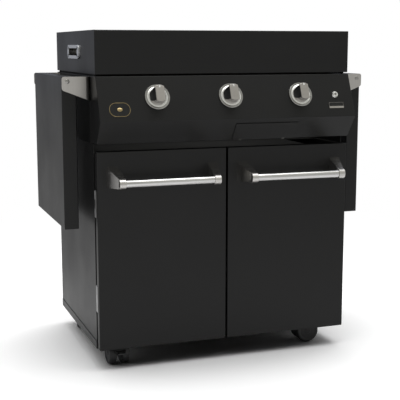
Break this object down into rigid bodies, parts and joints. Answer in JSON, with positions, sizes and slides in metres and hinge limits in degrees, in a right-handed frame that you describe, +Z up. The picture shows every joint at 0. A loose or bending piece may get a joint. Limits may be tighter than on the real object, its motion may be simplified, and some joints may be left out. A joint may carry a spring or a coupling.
{
  "type": "gas barbecue grill",
  "caption": "Flat-top gas barbecue with a lift-off lid over a cooking plate, a sloping knob console, a two-door cabinet on casters and folding side shelves.",
  "frame": {"origin": "on the floor under the middle of the whole object's box", "axes": "+X to the right seen from the front, +Y from the doors to the back, +Z up"},
  "size_m": [0.98, 0.6508, 1.016],
  "materials": {
    "black_paint": "semi-gloss black powder coat on sheet steel",
    "seasoned_steel": "oiled, darkened rolled steel",
    "bare_steel": "plain galvanised or bare sheet and tube",
    "stainless": "brushed stainless steel",
    "polished_steel": "polished stainless steel",
    "brass": "machined brass",
    "rubber": "soft black rubber",
    "wheel_plastic": "moulded black nylon wheels",
    "caster_plastic": "moulded black nylon fork and pedal",
    "module_plastic": "moulded plastic housing",
    "magnet": "magnet in a plastic housing",
    "ceramic": "glazed ceramic rod; gloss plastic stands in for it"
  },
  "bodies": {
    "cart": {"base_panel": "black_paint", "left_side_panel": "black_paint", "right_side_panel": "black_paint", "back_panel": "black_paint", "back_panel_screws": "bare_steel", "top_deck": "black_paint", "top_rails": "black_paint", "cross_rail": "black_paint", "door_catches": "magnet", "cabinet_hinges": "stainless", "tank_ring": "bare_steel", "firebox": "black_paint", "griddle_plate": "seasoned_steel", "burners": "bare_steel", "igniter_electrodes": "ceramic", "gas_manifold": "bare_steel", "gas_valves": "brass", "gas_inlet": "brass", "console_panel": "black_paint", "console_end_caps": "black_paint", "control_bezels": "stainless", "igniter_module": "module_plastic", "drawer_runners": "bare_steel", "shelf_brackets": "stainless", "shelf_pivot_bolts": "stainless", "caster_plates": "bare_steel"},
    "lid": {"lid_shell": "black_paint", "lid_pulls": "stainless", "lid_bumpers": "rubber"},
    "door_left": {"left_door_panel": "black_paint", "left_door_liner": "black_paint", "left_door_hinges": "stainless", "left_handle_bar": "polished_steel", "left_handle_posts": "polished_steel"},
    "door_right": {"right_door_panel": "black_paint", "right_door_liner": "black_paint", "right_door_hinges": "stainless", "right_handle_bar": "polished_steel", "right_handle_posts": "polished_steel"},
    "shelf_left": {"left_shelf": "black_paint"},
    "shelf_right": {"right_shelf": "black_paint"},
    "drawer": {"drawer_front": "black_paint", "grease_tray": "bare_steel"},
    "stem_left": {"left_valve_stem": "brass"},
    "stem_middle": {"middle_valve_stem": "brass"},
    "stem_right": {"right_valve_stem": "brass"},
    "dial_left": {"left_knob": "stainless"},
    "dial_middle": {"middle_knob": "stainless"},
    "dial_right": {"right_knob": "stainless"},
    "button": {"igniter_button": "polished_steel"},
    "swivel_front_left": {"front_left_fork": "caster_plastic"},
    "swivel_front_right": {"front_right_fork": "caster_plastic"},
    "swivel_rear_left": {"rear_left_fork": "caster_plastic"},
    "swivel_rear_right": {"rear_right_fork": "caster_plastic"},
    "roller_front_left": {"front_left_wheels": "wheel_plastic"},
    "roller_front_right": {"front_right_wheels": "wheel_plastic"},
    "roller_rear_left": {"rear_left_wheels": "wheel_plastic"},
    "roller_rear_right": {"rear_right_wheels": "wheel_plastic"},
    "brake_left": {"left_brake_pedal": "caster_plastic"},
    "brake_right": {"right_brake_pedal": "caster_plastic"}
  },
  "joints": [
    {"name": "lid_lift", "type": "slide", "parent": "cart", "child": "lid", "axis": [0, 0, 1], "range_m": [0, 0.25]},
    {"name": "left_door_swing", "type": "hinge", "parent": "cart", "child": "door_left", "pos_m": [-0.4035, -0.20763, 0.366], "axis": [0, 0, -1], "range_deg": [0, 110]},
    {"name": "right_door_swing", "type": "hinge", "parent": "cart", "child": "door_right", "pos_m": [0.4035, -0.20763, 0.366], "axis": [0, 0, 1], "range_deg": [0, 110]},
    {"name": "left_shelf_fold", "type": "hinge", "parent": "cart", "child": "shelf_left", "pos_m": [-0.474, 0.06288, 0.868], "axis": [0, 1, 0], "range_deg": [0, 90]},
    {"name": "right_shelf_fold", "type": "hinge", "parent": "cart", "child": "shelf_right", "pos_m": [0.474, 0.06288, 0.868], "axis": [0, -1, 0], "range_deg": [0, 90]},
    {"name": "drawer_slide", "type": "slide", "parent": "cart", "child": "drawer", "axis": [0, -1, 0], "range_m": [0, 0.25]},
    {"name": "left_stem_push", "type": "slide", "parent": "cart", "child": "stem_left", "axis": [0, 0.9214, -0.3887], "range_m": [0, 0.003], "stiffness_N_per_m": 1500, "springref_m": -0.003},
    {"name": "left_knob_turn", "type": "hinge", "parent": "stem_left", "child": "dial_left", "pos_m": [-0.229, -0.27349, 0.82708], "axis": [0, -0.9214, 0.3887], "range_deg": [0, 240]},
    {"name": "middle_stem_push", "type": "slide", "parent": "cart", "child": "stem_middle", "axis": [0, 0.9214, -0.3887], "range_m": [0, 0.003], "stiffness_N_per_m": 1500, "springref_m": -0.003},
    {"name": "middle_knob_turn", "type": "hinge", "parent": "stem_middle", "child": "dial_middle", "pos_m": [0, -0.27349, 0.82708], "axis": [0, -0.9214, 0.3887], "range_deg": [0, 240]},
    {"name": "right_stem_push", "type": "slide", "parent": "cart", "child": "stem_right", "axis": [0, 0.9214, -0.3887], "range_m": [0, 0.003], "stiffness_N_per_m": 1500, "springref_m": -0.003},
    {"name": "right_knob_turn", "type": "hinge", "parent": "stem_right", "child": "dial_right", "pos_m": [0.229, -0.27349, 0.82708], "axis": [0, -0.9214, 0.3887], "range_deg": [0, 240]},
    {"name": "igniter_press", "type": "slide", "parent": "cart", "child": "button", "axis": [0, 0.9214, -0.3887], "range_m": [0, 0.003], "stiffness_N_per_m": 800, "springref_m": -0.002},
    {"name": "front_left_swivel", "type": "hinge", "parent": "cart", "child": "swivel_front_left", "pos_m": [-0.336, -0.14563, 0.07], "axis": [0, 0, 1], "continuous": true},
    {"name": "front_left_roll", "type": "hinge", "parent": "swivel_front_left", "child": "roller_front_left", "pos_m": [-0.336, -0.16762, 0.038], "axis": [1, 0, 0], "continuous": true},
    {"name": "front_right_swivel", "type": "hinge", "parent": "cart", "child": "swivel_front_right", "pos_m": [0.336, -0.14563, 0.07], "axis": [0, 0, 1], "continuous": true},
    {"name": "front_right_roll", "type": "hinge", "parent": "swivel_front_right", "child": "roller_front_right", "pos_m": [0.314, -0.14563, 0.038], "axis": [0, -1, 0], "continuous": true},
    {"name": "rear_left_swivel", "type": "hinge", "parent": "cart", "child": "swivel_rear_left", "pos_m": [-0.336, 0.25338, 0.07], "axis": [0, 0, 1], "continuous": true},
    {"name": "rear_left_roll", "type": "hinge", "parent": "swivel_rear_left", "child": "roller_rear_left", "pos_m": [-0.34169, 0.23212, 0.038], "axis": [0.9659, -0.2588, 0], "continuous": true},
    {"name": "rear_right_swivel", "type": "hinge", "parent": "cart", "child": "swivel_rear_right", "pos_m": [0.336, 0.25338, 0.07], "axis": [0, 0, 1], "continuous": true},
    {"name": "rear_right_roll", "type": "hinge", "parent": "swivel_rear_right", "child": "roller_rear_right", "pos_m": [0.31798, 0.24076, 0.038], "axis": [0.5736, -0.8192, 0], "continuous": true},
    {"name": "left_brake_press", "type": "hinge", "parent": "swivel_front_left", "child": "brake_left", "pos_m": [-0.336, -0.21363, 0.048], "axis": [1, 0, 0], "range_deg": [0, 20]},
    {"name": "right_brake_press", "type": "hinge", "parent": "swivel_front_right", "child": "brake_right", "pos_m": [0.268, -0.14563, 0.048], "axis": [0, -1, 0], "range_deg": [0, 20]}
  ]
}
